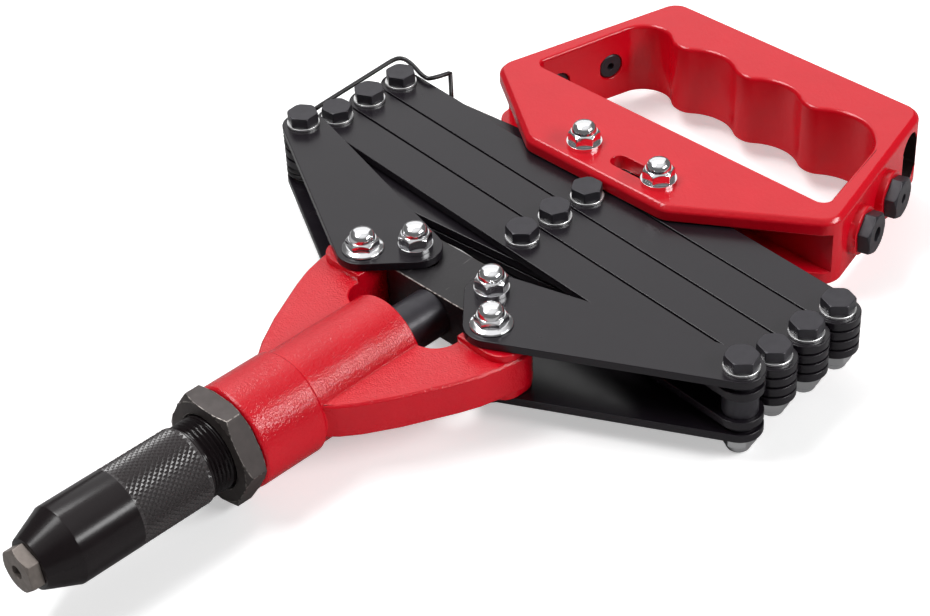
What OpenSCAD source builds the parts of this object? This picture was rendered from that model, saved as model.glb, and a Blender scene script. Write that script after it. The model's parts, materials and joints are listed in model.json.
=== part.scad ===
// Lazy tong riveter, folded. A scissor linkage between the handle and two cranks pulls a
// drawbar back through the head, and the drawbar closes three jaws behind the nosepiece.
// The origin is the centre of the nosepiece's mouth. X runs back along the tool to the handle,
// Y points to the tool's left and Z up. The tool lies flat and z = 0 is its middle plane.

/* [Linkage] */
// Distance from the tool's axis to each outer pivot when folded
half_width = 102; // [100:0.5:104]
// Distance between neighbouring pivots along the axis when folded
pitch = 15.9; // [15.8:0.05:16.3]
// Width of a link plate
link_width = 15.2; // [14:0.1:15.6]
// Thickness of the link and crank plates
plate_thick = 3; // [2.6:0.1:3]
// Distance from the last centre pivot to each handle pivot
handle_arm = 17.4; // [17:0.1:18]
// Radius of a crank's end round the outer pivot
crank_tip_radius = 7.7; // [7.2:0.1:8.6]
// Radius of a crank's corner round the head's pivot
crank_heel_radius = 9.2; // [8.8:0.1:10.4]

/* [Fasteners] */
// Radius of every pivot bolt
pin_radius = 3; // [2.7:0.05:3.05]
// Width across the flats of bolt heads and cap nuts
hex_flats = 10; // [9.2:0.1:10.2]
// Height of a bolt head
head_height = 4; // [3.2:0.1:4.4]
// Height of the hexagon of a cap nut
nut_height = 4.1; // [3.8:0.1:4.4]
// Height of the dome on a cap nut
dome_height = 3.3; // [3:0.1:3.6]
// Outer radius of the plain washers and spacers
washer_radius = 5.9; // [5.5:0.1:6]

/* [Head] */
// Radius of the barrel behind its front collar
barrel_radius = 16.7; // [16:0.1:16.9]
// Radius of the barrel's front collar
collar_radius = 17.8; // [17:0.1:18.5]
// Where the front collar ends
collar_end = 104; // [98:1:112]
// Half thickness of the two wings
wing_half = 6.5; // [5.5:0.1:7]
// Half height of the raised pads round the pivots
pad_half = 9; // [8:0.1:9]
// Corner radius of the pads
pad_corner = 6.9; // [5:0.1:8]

/* [Nose] */
// Radius of the nose sleeve
sleeve_radius = 13.25; // [13:0.05:13.6]
// Where the knurled band starts
knurl_start = 36.7; // [30:0.1:42]
// Number of flutes round the knurled band
flute_count = 48; // [24:1:60]
// Radius across the corners of the lock nut
lock_corner = 19.8; // [18.6:0.1:21]
// Where the lock nut's front face is
lock_front = 71.6; // [71:0.1:72.4]
// Width across the flats of a nosepiece
nosepiece_flats = 13.6; // [12.4:0.1:14]
// Radius of the hole for the rivet's mandrel
mandrel_radius = 2.3; // [1.5:0.05:2.5]

/* [Jaws] */
// Number of jaws
jaw_count = 3; // [2:1:4]
// Turns of the jaw spring
spring_turns = 4; // [3:0.5:5]
// Radius of the jaw spring's wire
spring_wire = 0.6; // [0.4:0.05:0.7]

/* [Handle] */
// Half width of the handle at its widest
handle_half = 78.9; // [76:0.1:81]
// Corner radius of the handle
handle_corner = 8; // [6:0.5:9]
// Half thickness of the handle at its pivots
handle_thick = 13.4; // [12.6:0.1:13.4]
// Growth of the half thickness per millimetre towards the grip
handle_slope = 0.015; // [0.005:0.005:0.03]
// Radius of the two middle finger grooves
finger_radius = 17; // [16.5:0.1:17.4]
// Depth of the hollow in the grip
grip_core_depth = 95; // [60:1:100]

/* [Latch] */
// Radius of the latch wire
wire_radius = 0.85; // [0.6:0.05:0.9]

/* [Hidden] */
$fn = 48;
red = [0.80, 0.06, 0.09];
black = [0.09, 0.085, 0.09];
dark = [0.22, 0.19, 0.18];
steel = [0.78, 0.78, 0.80];

// Main points of the mechanism
crank_x = 201;
head_pivot = [164.3, 30.2];
pull_pivot = [176.8, 17.85];
fold_angle = atan2(half_width, pitch / 2);
link_radius = link_width / 2;
function outer_pivot(k, side) = [crank_x + (k - 1) * pitch, side * half_width];
function centre_pivot(k) = [crank_x + (k - 0.5) * pitch, 0];
function polar(angle, r) = [r * cos(angle), r * sin(angle)];
handle_pivot = centre_pivot(4) + polar(fold_angle, handle_arm);
slot_pivot = centre_pivot(4) + polar(-fold_angle, handle_arm);

// Clearances
pin_gap = 0.05;
layer_gap = 0.02;
hole_radius = pin_radius + pin_gap;
sliding_gap = 0.05;

// Heights of the plate layers above the middle plane
inner_low = 0.4;
inner_high = inner_low + plate_thick;
outer_low = inner_high + 0.8;
outer_high = outer_low + plate_thick;
washer_thick = 1;
crank_low = outer_high + 2;
crank_high = crank_low + plate_thick;
link_seat = outer_high + washer_thick;
crank_seat = crank_high + washer_thick;
pull_washer_thick = 1.7;
pull_seat = crank_high + pull_washer_thick;
handle_washer_radius = 6.33;
handle_washer_thick = 1.5;
spot_high = handle_thick - 0.3;
handle_seat = spot_high + handle_washer_thick;
bolt_grip = 4.6;

// Lengths along the nose and head
nose_face = 4.5;
sleeve_back = 97;
knurl_end = 63.2;
sleeve_bore = 10.3;
thread_root = 11.7;
thread_crest = 12.6;
thread_pitch = 1.5;
thread_start = 64.2;
nose_thread = 5;
nose_thread_end = 14.5;
lock_thick = 7.8;
barrel_front = 79.7;
window_front = 146;
window_half = 23.2;
window_corner = 9;
drawbar_radius = 8.5;
drawbar_gap = 0.05;

// Drawbar, jaw case and crosshead
case_front = 31;
case_back = 65;
case_radius = 10.2;
case_bore = 8;
case_mouth = 5.3;
case_cone_end = 46;
case_slope = (case_bore - case_mouth) / (case_cone_end - case_front);
spigot_front = 60;
crosshead_front = 166;
crosshead_back = 188.2;
crosshead_half = 22.9;
crosshead_high = 8.9;
slot_near = 12.4;
slot_far = 18.1;
slot_radius = pin_radius + 0.65;
stub_radius = 6;

// Handle outline, measured back from the handle pivots
handle_y = -1;
front_x = -11.1;
front_left = 35.7;
front_right = 27.6;
wall_x = 15;
wall_slope = 0.267;
widest_left = 16.7;
widest_right = 20.7;
back_x = 94.1;
channel_half = outer_high + 0.4;
channel_back = 21;
opening_front = 26.5;
opening_corner = 3.4;
opening_slope = 0.235;
grip_front = 74.6;
grip_middle = 4.8;
finger_step = 30.4;
ridge_radius = 8.3;
boss_radius = 8.8;
boss_high = 2.75;
spare_x = [38.3, 61];
spare_bores = [1.9, 1.4, 2.6, 1.7];
edge_chamfer = 1.7;

// Plane geometry: unit vectors, the arc centre and the tangent points of a rounded corner
function unit(v) = v / norm(v);
function corner_arms(pts, i) = [
    unit(pts[(i + len(pts) - 1) % len(pts)] - pts[i]),
    unit(pts[(i + 1) % len(pts)] - pts[i])];
function corner_half_angle(arms) = acos(arms[0] * arms[1]) / 2;
function arc_centres(pts, r) = [for (i = [0:len(pts) - 1])
    let (arms = corner_arms(pts, i))
    pts[i] + unit(arms[0] + arms[1]) * r / sin(corner_half_angle(arms))];
function tangent_points(pts, r) = [for (i = [0:len(pts) - 1])
    let (arms = corner_arms(pts, i), back = r / tan(corner_half_angle(arms)))
    each [pts[i] + arms[0] * back, pts[i] + arms[1] * back]];

// Outline with rounded corners
module rounded(pts, r) {
    polygon(tangent_points(pts, r));
    for (c = arc_centres(pts, r)) {
        translate(c) circle(r);
    }
}

// Outer tangent of two circles, on the right of the way from the first to the second
function tangent(c, rc, d, rd) =
    let (v = d - c, turn = atan2(v.y, v.x) - acos((rc - rd) / norm(v)))
    [c + polar(turn, rc), d + polar(turn, rd)];

// Places a child at a point of the plane
module at(p, z) {
    translate([p.x, p.y, z]) children();
}

// A copy above and a copy below the middle plane
module both_faces() {
    children();
    mirror([0, 0, 1]) children();
}

// A turned piece along the X axis, from a profile of radius and distance
module turned(profile) {
    rotate([0, 90, 0]) rotate_extrude() polygon(profile);
}

// Straight bar with round ends
module bar(p, q, r, z, t) {
    translate([0, 0, z]) linear_extrude(t) {
        translate(p) circle(r);
        translate(q) circle(r);
        polygon(concat(tangent(p, r, q, r), tangent(q, r, p, r)));
    }
}

// Flat ring
module ring(p, z, t, r, hole) {
    at(p, z) difference() {
        cylinder(r = r, h = t);
        translate([0, 0, -1]) cylinder(r = hole, h = t + 2);
    }
}

// Hexagonal prism with a chamfer round a flat top of the given radius
module hex_block(flats, h, top, chamfer) {
    corner = flats / sqrt(3);
    intersection() {
        cylinder(r = corner, h = h, $fn = 6);
        rotate_extrude() polygon([[0, -1], [corner + 1, -1], [corner + 1, h - chamfer],
            [corner, h - chamfer], [top, h], [0, h]]);
    }
}

// Hexagon bolt whose head sits on height z and whose shank reaches down to the given height
module hex_bolt(p, z, shank_end, turn) {
    at(p, z) rotate([0, 0, turn]) hex_block(hex_flats, head_height, hex_flats * 0.51, 0.5);
    at(p, shank_end) cylinder(r = pin_radius, h = z - shank_end);
}

// Cap nut that sits on height z, with an optional flange
module cap_nut(p, z, turn, flange) {
    dome_base = hex_flats * 0.46;
    dome_ball = (dome_base * dome_base + dome_height * dome_height) / (2 * dome_height);
    at(p, z) difference() {
        union() {
            rotate([0, 0, turn]) hex_block(hex_flats, nut_height, dome_base + 0.15, 1);
            intersection() {
                translate([0, 0, nut_height + dome_height - dome_ball]) sphere(r = dome_ball);
                translate([0, 0, nut_height - 0.5])
                    cylinder(r = dome_base, h = dome_height + 1);
            }
            if (flange > 0) {
                rotate_extrude() polygon([[0, 0], [flange, 0], [flange, 0.7],
                    [flange - 1.6, 1.5], [0, 1.5]]);
            }
        }
        translate([0, 0, -1]) cylinder(r = hole_radius, h = bolt_grip + 1.4);
    }
}

// Tube swept along a path of points, without twist
function step_dir(path, i) =
    unit(path[min(i + 1, len(path) - 1)] - path[max(i - 1, 0)]);
function carried(v, d) = unit(v - d * (v * d));
function frames(path, i, v) =
    i == len(path) ? [] :
    let (d = step_dir(path, i), w = carried(v, d))
    concat([[w, cross(d, w)]], frames(path, i + 1, w));
module wire(path, r, start_side) {
    sides = 8;
    count = len(path);
    axes = frames(path, 0, start_side);
    points = [for (i = [0:count - 1]) for (j = [0:sides - 1])
        path[i] + r * (cos(j * 360 / sides) * axes[i][0] + sin(j * 360 / sides) * axes[i][1])];
    quads = [for (i = [0:count - 2]) for (j = [0:sides - 1])
        let (k = (j + 1) % sides, a = i * sides, b = a + sides)
        each [[a + j, b + j, a + k], [a + k, b + j, b + k]]];
    ends = [[for (j = [0:sides - 1]) j], [for (j = [sides - 1:-1:0]) (count - 1) * sides + j]];
    polyhedron(points = points, faces = concat(quads, ends));
}
function soften(path) = [path[0], for (i = [0:len(path) - 2])
    each [0.75 * path[i] + 0.25 * path[i + 1], 0.25 * path[i] + 0.75 * path[i + 1]],
    path[len(path) - 1]];

// Two equal link plates, above and below, with their round holes
module link_plates(p, q, holes, z) {
    both_faces() difference() {
        bar(p, q, link_radius, z, plate_thick);
        for (h = holes) {
            at(h, z - 1) cylinder(r = hole_radius, h = plate_thick + 2);
        }
    }
}

// Thin rings that keep the two inner plates apart
module inner_rings(places) {
    for (p = places) {
        ring(p, layer_gap - inner_low, 2 * (inner_low - layer_gap), washer_radius, hole_radius);
    }
}

// Shims between the layers, and the washers under head and nut
module link_washers(places, shims_only) {
    for (p = concat(places, shims_only)) {
        both_faces() ring(p, inner_high + layer_gap, outer_low - inner_high - 2 * layer_gap,
            washer_radius, hole_radius);
    }
    for (p = places) {
        both_faces() ring(p, outer_high, washer_thick, washer_radius, hole_radius);
    }
}
module link_bolts(places) {
    for (i = [0:len(places) - 1]) {
        hex_bolt(places[i], link_seat, -link_seat - bolt_grip, 11 + 23 * i);
    }
}
module link_nuts(places) {
    for (i = [0:len(places) - 1]) {
        mirror([0, 0, 1]) cap_nut(places[i], link_seat, 7 + 19 * i, 0);
    }
}

// Bolt places of each outer link pair
bolts_1 = [centre_pivot(1), outer_pivot(2, 1)];
bolts_2 = [outer_pivot(2, -1), centre_pivot(2), outer_pivot(3, 1)];
bolts_3 = [outer_pivot(3, -1), centre_pivot(3), outer_pivot(4, 1)];
bolts_4 = [outer_pivot(4, -1)];

// Half of a wing's outline, one disc for each point of its edge
wing_edge = [[106.6, 14.6], [109.1, 17.4], [114.7, 21.8], [125.3, 28.2], [133.4, 32.2],
    [141.9, 36.4], [148.7, 39.2], [155.6, 41]];
wing_tip = [164.6, 36.6];
wing_tip_radius = 8;
wing_disc = 2;
wing_levels = [[0, 0.9], [0.3, 0.3], [0.9, 0]];

// The casting's flat fork: rounded top and bottom edges
module wing_slab() {
    hull() both_faces() for (side = [1, -1]) for (level = wing_levels) {
        for (p = wing_edge) {
            translate([p.x, side * p.y, wing_half - level[0] - 0.01])
                cylinder(r = wing_disc - level[1], h = 0.01, $fn = 20);
        }
        translate([wing_tip.x, side * wing_tip.y, wing_half - level[0] - 0.01])
            cylinder(r = wing_tip_radius - level[1], h = 0.01, $fn = 32);
    }
}

module head_casting() {
    fillet = 1;
    step_end = collar_end + 0.8;
    thread_hole = thread_crest + pin_gap;
    counterbore_end = sleeve_back + 0.7;
    pad_front = 155.4;
    pad_back = 172.4;
    pad_outer = 43.6;
    pad = [[pad_front, -pad_outer], [pad_back, -pad_outer], [pad_back, pad_outer],
        [pad_front, pad_outer]];
    window = [[window_front, -window_half], [220, -window_half], [220, window_half],
        [window_front, window_half]];
    color(red) difference() {
        union() {
            turned([[0, barrel_front], [collar_radius - fillet, barrel_front],
                [collar_radius, barrel_front + fillet], [collar_radius, collar_end],
                [barrel_radius, step_end], [barrel_radius, window_front + 0.5],
                [0, window_front + 0.5]]);
            wing_slab();
            translate([0, 0, -pad_half]) linear_extrude(2 * pad_half) rounded(pad, pad_corner);
        }
        translate([0, 0, -30]) linear_extrude(60) rounded(window, window_corner);
        turned([[0, 60], [thread_hole, 60], [thread_hole, counterbore_end],
            [drawbar_radius + drawbar_gap, counterbore_end + 3],
            [drawbar_radius + drawbar_gap, 160], [0, 160]]);
        for (side = [1, -1]) {
            translate([head_pivot.x, side * head_pivot.y, -30])
                cylinder(r = hole_radius, h = 60);
        }
    }
}

module nose_sleeve() {
    nose_hole = nose_thread + pin_gap;
    groove_count = 5;
    grooves = [for (i = [0:groove_count]) each [
        [thread_root, thread_start + i * thread_pitch],
        [thread_crest, thread_start + (i + 0.5) * thread_pitch]]];
    flute_side = 0.9;
    color(black) difference() {
        turned(concat([[nose_hole, nose_face], [8.4, nose_face], [8.9, nose_face + 0.5],
            [sleeve_radius, 15.5], [sleeve_radius, knurl_end], [12.2, knurl_end + 0.4],
            [12.2, thread_start - 0.3]], grooves, [[thread_crest, sleeve_back - 1],
            [thread_root, sleeve_back], [sleeve_bore, sleeve_back], [sleeve_bore, 16.5],
            [nose_hole, nose_thread_end]]));
        for (i = [0:flute_count - 1]) {
            rotate([i * 360 / flute_count, 0, 0])
                translate([knurl_start, 0, sleeve_radius + 0.25])
                rotate([45, 0, 0])
                translate([0, -flute_side / 2, -flute_side / 2])
                cube([knurl_end + 1 - knurl_start, flute_side, flute_side]);
        }
    }
}

module lock_nut() {
    chamfer = 1.6;
    back = lock_front + lock_thick;
    hole = thread_crest + pin_gap;
    color(dark) intersection() {
        translate([lock_front, 0, 0]) rotate([0, 90, 0]) rotate([0, 0, 30])
            cylinder(r = lock_corner, h = lock_thick, $fn = 6);
        turned([[hole + 0.6, lock_front], [lock_corner - chamfer * 1.5, lock_front],
            [lock_corner, lock_front + chamfer * 0.7], [lock_corner + 1, lock_front + chamfer],
            [lock_corner + 1, back - chamfer], [lock_corner, back - chamfer * 0.7],
            [lock_corner - chamfer * 1.5, back], [hole + 0.6, back], [hole, back - 0.6],
            [hole, lock_front + 0.6]]);
    }
}

// A nosepiece with its hexagon's face at distance 0 and its tip along +X
module nosepiece_shape(bore, thread_end, tip) {
    corner = nosepiece_flats / sqrt(3);
    ring_radius = nosepiece_flats * 0.49;
    difference() {
        union() {
            intersection() {
                rotate([0, 90, 0]) rotate([0, 0, 50]) cylinder(r = corner, h = nose_face, $fn = 6);
                turned([[0, 0], [ring_radius, 0], [corner + 1, 1.4], [corner + 1, 6], [0, 6]]);
            }
            turned(concat([[0, 1], [nose_thread, 1], [nose_thread, thread_end]], tip));
        }
        turned([[0, -1], [bore, -1], [bore, 20], [0, 20]]);
    }
}
module nosepiece() {
    tip_end = 18.3;
    color(dark) nosepiece_shape(mandrel_radius, nose_thread_end,
        [[4, nose_thread_end], [2.8, tip_end], [0, tip_end]]);
}

// Bolts on which the cranks turn: heads below, flanged cap nuts above
module head_pivot_bolts() {
    seat = crank_high + sliding_gap;
    color(black) for (side = [1, -1]) {
        mirror([0, 0, 1])
            hex_bolt([head_pivot.x, side * head_pivot.y], seat, -seat - bolt_grip, 20);
    }
}
module head_pivot_nuts() {
    color(steel) for (side = [1, -1]) {
        cap_nut([head_pivot.x, side * head_pivot.y], crank_high + sliding_gap, 12, 7.15);
    }
}

module drawbar() {
    spigot = case_bore - 0.03;
    stub_end = crosshead_front + 11.9;
    color(black) turned([[0, spigot_front], [spigot - 0.6, spigot_front],
        [spigot, spigot_front + 0.6], [spigot, case_back], [drawbar_radius, case_back],
        [drawbar_radius, crosshead_front], [stub_radius - 0.03, crosshead_front],
        [stub_radius - 0.03, stub_end], [0, stub_end]]);
}

module crosshead() {
    block = [[crosshead_front, -crosshead_half], [crosshead_back, -crosshead_half],
        [crosshead_back, crosshead_half], [crosshead_front, crosshead_half]];
    color(black) difference() {
        translate([0, 0, -crosshead_high]) linear_extrude(2 * crosshead_high) rounded(block, 3);
        for (side = [1, -1]) {
            bar([pull_pivot.x, side * slot_near], [pull_pivot.x, side * slot_far], slot_radius,
                -20, 40);
        }
        turned([[0, 150], [stub_radius, 150], [stub_radius, crosshead_front + 12],
            [0, crosshead_front + 12]]);
    }
}

module jaw_case() {
    color(black) turned([[case_mouth, case_front], [case_radius - 0.9, case_front],
        [case_radius, case_front + 1.6], [case_radius, case_back - 0.5],
        [case_radius - 0.5, case_back], [case_bore, case_back], [case_bore, case_cone_end]]);
}

// Jaws: a toothed cone cut into equal segments
module jaws() {
    front = 32;
    back = 44.5;
    gap = 0.3;
    teeth = 9;
    front_radius = case_mouth + (front - case_front) * case_slope - gap;
    back_radius = case_mouth + (back - case_front) * case_slope - gap;
    color(steel) difference() {
        turned(concat([[front_radius, front], [back_radius, back], [3.4, back]],
            [for (i = [0:teeth - 1]) each [[1.9, 42.4 - i], [1.45, 41.9 - i]]],
            [[2.4, front]]));
        for (i = [0:jaw_count - 1]) {
            rotate([i * 360 / jaw_count, 0, 0]) translate([front - 1, -0.4, 0])
                cube([back - front + 2, 0.8, 12]);
        }
    }
}

module jaw_pusher() {
    color(steel) turned([[2.5, 44.8], [5.4, 44.8], [7.2, 46.4], [7.2, 51.2], [4.4, 51.2],
        [4.4, 58], [2.5, 58]]);
}

module jaw_spring() {
    start = 51.25 + spring_wire;
    end = spigot_front - 0.05 - spring_wire;
    mean_radius = 5.8;
    steps = round(spring_turns * 16);
    path = [for (i = [0:steps]) let (t = i / steps, a = t * spring_turns * 360)
        [start + t * (end - start), mean_radius * cos(a), mean_radius * sin(a)]];
    color(steel) wire(path, spring_wire, [1, 0, 0]);
}

// Left crank plate: three round corners joined by their tangents
module crank_plate() {
    tip = outer_pivot(1, 1);
    toe_radius = crank_heel_radius - 0.2;
    difference() {
        translate([0, 0, crank_low]) linear_extrude(plate_thick) {
            translate(tip) circle(crank_tip_radius);
            translate(head_pivot) circle(crank_heel_radius);
            translate(pull_pivot) circle(toe_radius);
            polygon(concat(tangent(tip, crank_tip_radius, head_pivot, crank_heel_radius),
                tangent(head_pivot, crank_heel_radius, pull_pivot, toe_radius),
                tangent(pull_pivot, toe_radius, tip, crank_tip_radius)));
        }
        for (p = [tip, head_pivot, pull_pivot]) {
            at(p, crank_low - 1) cylinder(r = hole_radius, h = plate_thick + 2);
        }
    }
}

// Bolt through a crank and the crosshead's slot: head and washer below, nut above
module crosshead_bolt(side) {
    place = [pull_pivot.x, side * pull_pivot.y];
    color(black) mirror([0, 0, 1])
        hex_bolt(place, pull_seat, -pull_seat - bolt_grip, 35);
}
module crosshead_nut(side) {
    place = [pull_pivot.x, side * pull_pivot.y];
    color(steel) {
        cap_nut(place, pull_seat, 28, 0);
        both_faces() ring(place, crank_high, pull_washer_thick, washer_radius, hole_radius);
    }
}

module left_crank_top() {
    color(black) crank_plate();
}
module left_crank_bottom() {
    color(black) mirror([0, 0, 1]) crank_plate();
}
module left_crosshead_bolt() {
    crosshead_bolt(1);
}
module left_crosshead_nut() {
    crosshead_nut(1);
}
module left_end_bolt() {
    color(black) hex_bolt(outer_pivot(1, 1), crank_seat, -crank_seat - bolt_grip, 5);
}
module left_end_washers() {
    place = outer_pivot(1, 1);
    color(steel) both_faces() {
        ring(place, crank_high, washer_thick, washer_radius, hole_radius);
        ring(place, inner_high + layer_gap, crank_low - inner_high - layer_gap,
            washer_radius, hole_radius);
    }
}
module left_end_nut() {
    color(steel) mirror([0, 0, 1]) cap_nut(outer_pivot(1, 1), crank_seat, 17, 0);
}

module right_crank_top() {
    color(black) mirror([0, 1, 0]) crank_plate();
}
module right_crank_bottom() {
    color(black) mirror([0, 1, 0]) mirror([0, 0, 1]) crank_plate();
}
module right_crosshead_bolt() {
    crosshead_bolt(-1);
}
module right_crosshead_nut() {
    crosshead_nut(-1);
}
module right_end_bolt() {
    place = outer_pivot(1, -1);
    color(black) {
        hex_bolt(place, crank_seat, crank_low, 15);
        at(place, -crank_seat - bolt_grip)
            cylinder(r = pin_radius, h = crank_seat + bolt_grip - crank_low);
    }
}
module right_end_washers() {
    color(steel) both_faces()
        ring(outer_pivot(1, -1), crank_high, washer_thick, washer_radius, hole_radius);
}
module right_end_nut() {
    color(steel) mirror([0, 0, 1]) cap_nut(outer_pivot(1, -1), crank_seat, 3, 0);
}

// Latch: two strands that loop round the spacers and meet in an upright behind the last bolt
module latch_wire() {
    centre = outer_pivot(1, 1);
    loop_radius = 6.95;
    loop_steps = 24;
    loop = [for (i = [0:loop_steps - 1]) let (t = i / loop_steps, a = 90 + 540 * (1 - t))
        [loop_radius * cos(a), loop_radius * sin(a), inner_high + 1.05 + 3 * t]];
    bend = [[3, 7.1, 7.5], [12.8, 10, 7.5], [25.2, 10, 8.4], [41.4, 10, 9.5],
        [52.7, 10, 10.5], [57.2, 10, 9.6], [57.4, 5.2, 9.5], [53.5, -7, 9], [56, -9, 9],
        [63, -10.6, 8.7]];
    half = concat(loop, soften(soften(bend)));
    lower = [for (i = [len(half) - 1:-1:0]) [half[i].x, half[i].y, -half[i].z]];
    color(black) translate([centre.x, centre.y, 0])
        wire(concat(half, lower), wire_radius, [0, 0, 1]);
}

module inner_links_1() {
    places = [outer_pivot(1, 1), centre_pivot(1), outer_pivot(2, -1)];
    color(black) {
        link_plates(places[0], places[2], places, inner_low);
        inner_rings(places);
    }
}
module inner_links_2() {
    places = [outer_pivot(2, 1), centre_pivot(2), outer_pivot(3, -1)];
    color(black) {
        link_plates(places[0], places[2], places, inner_low);
        inner_rings(places);
    }
}
module inner_links_3() {
    places = [outer_pivot(3, 1), centre_pivot(3), outer_pivot(4, -1)];
    color(black) {
        link_plates(places[0], places[2], places, inner_low);
        inner_rings(places);
    }
}

module outer_links_1() {
    places = [outer_pivot(1, -1), centre_pivot(1), outer_pivot(2, 1)];
    color(black) link_plates(places[0], places[2], places, outer_low);
}
module outer_links_2() {
    places = [outer_pivot(2, -1), centre_pivot(2), outer_pivot(3, 1)];
    color(black) link_plates(places[0], places[2], places, outer_low);
}
module outer_links_3() {
    places = [outer_pivot(3, -1), centre_pivot(3), outer_pivot(4, 1)];
    color(black) link_plates(places[0], places[2], places, outer_low);
}

// Pin and sleeves of the right end pivot, between the plates of the right crank
module outer_1_pin_sleeve() {
    place = outer_pivot(1, -1);
    reach = crank_low - 0.1;
    color(steel) {
        at(place, -reach) cylinder(r = pin_radius, h = 2 * reach);
        ring(place, layer_gap - outer_low, 2 * (outer_low - layer_gap), washer_radius,
            hole_radius);
        both_faces() ring(place, outer_high, reach - outer_high, washer_radius, hole_radius);
    }
}

module outer_1_bolts() {
    color(black) link_bolts(bolts_1);
}
module outer_1_washers() {
    color(steel) link_washers(bolts_1, []);
}
module outer_1_nuts() {
    color(steel) link_nuts(bolts_1);
}
module outer_2_bolts() {
    color(black) link_bolts(bolts_2);
}
module outer_2_washers() {
    color(steel) link_washers(bolts_2, []);
}
module outer_2_nuts() {
    color(steel) link_nuts(bolts_2);
}
module outer_3_bolts() {
    color(black) link_bolts(bolts_3);
}
module outer_3_washers() {
    color(steel) link_washers(bolts_3, []);
}
module outer_3_nuts() {
    color(steel) link_nuts(bolts_3);
}
module outer_4_bolt() {
    color(black) link_bolts(bolts_4);
}
module outer_4_washers() {
    color(steel) link_washers(bolts_4, [centre_pivot(4)]);
}
module outer_4_nut() {
    color(steel) link_nuts(bolts_4);
}

// Relief notch that lets the other link's handle pin swing out of a short link's edge
module pin_notch(side) {
    swing = 32;
    radius = pin_radius + 0.9;
    start = centre_pivot(4) + polar(side * fold_angle, handle_arm);
    end = centre_pivot(4) + polar(side * (fold_angle - swing), handle_arm);
    bar(start, end, radius, -20, 40);
}

module inner_links_4() {
    places = [outer_pivot(4, 1), centre_pivot(4), slot_pivot];
    color(black) {
        difference() {
            link_plates(places[0], places[2], places, inner_low);
            pin_notch(1);
        }
        inner_rings(places);
    }
}

module outer_links_4() {
    places = [outer_pivot(4, -1), handle_pivot];
    rivet = centre_pivot(4);
    color(black) difference() {
        link_plates(places[0], places[1], places, outer_low);
        pin_notch(-1);
        both_faces() at(rivet, outer_low - 1) rotate_extrude() polygon([[0, 0],
            [hole_radius, 0], [hole_radius, 1.9], [pin_radius + 2, plate_thick + 1],
            [pin_radius + 2, plate_thick + 2], [0, plate_thick + 2]]);
    }
}

module centre_rivet() {
    head = pin_radius + 1.9;
    color(steel) at(centre_pivot(4), 0) rotate_extrude() polygon([[0, -outer_high],
        [head, -outer_high], [pin_radius, -outer_low - 1], [pin_radius, outer_low + 1],
        [head, outer_high], [0, outer_high]]);
}

// Bolt of the inner short links, which slides along the handle's slot
module slot_bolt() {
    seat = handle_seat + sliding_gap;
    color(black) mirror([0, 0, 1]) hex_bolt(slot_pivot, seat, -seat - bolt_grip, 9);
}
module slot_nut() {
    seat = handle_seat + sliding_gap;
    color(steel) {
        cap_nut(slot_pivot, seat, 22, 0);
        both_faces() ring(slot_pivot, spot_high + sliding_gap, handle_washer_thick,
            handle_washer_radius, hole_radius);
    }
}

// Six corners of the handle, seen from above, and the slant of its side walls
wall_dir = unit([1, -wall_slope]);
function wall_half(x) = handle_half - wall_slope * (x - wall_x);
handle_outline = [[front_x, -front_right], [widest_right, -wall_half(widest_right)],
    [back_x, -wall_half(back_x)], [back_x, wall_half(back_x)],
    [widest_left, wall_half(widest_left)], [front_x, front_left]];

// The handle's outer body, with chamfered edges and a thicker grip end
module handle_body() {
    hull() for (face = [1, -1]) for (inset = [0, edge_chamfer]) {
        multmatrix([[1, 0, 0, 0], [0, 1, 0, 0],
            [face * handle_slope, 0, 1, face * (handle_thick - edge_chamfer + inset)],
            [0, 0, 0, 1]])
            for (c = arc_centres(handle_outline, handle_corner)) {
                translate(c) cylinder(r = handle_corner - inset, h = 0.01, $fn = 32);
            }
    }
}

// Runs its children at the four spare nosepieces, with X pointing in through the wall
module spare_places() {
    for (i = [0:3]) {
        side = i < 2 ? 1 : -1;
        x = spare_x[i % 2];
        $bore = spare_bores[i];
        translate([x, side * wall_half(x), 0])
            rotate([0, 0, side * (atan2(wall_dir.y, wall_dir.x) - 90)]) children();
    }
}

// Finger opening: grooves [x, y, radius] from left to right, and the ridges between them
function opening_half(x) = 66 - opening_slope * (x - 34.3);
groove_x = grip_front - finger_radius;
ridge_x = groove_x + sqrt(pow(finger_radius + ridge_radius, 2) - pow(finger_step / 2, 2));
ridges = [for (i = [1, 0, -1]) [ridge_x, grip_middle + i * finger_step]];

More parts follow.
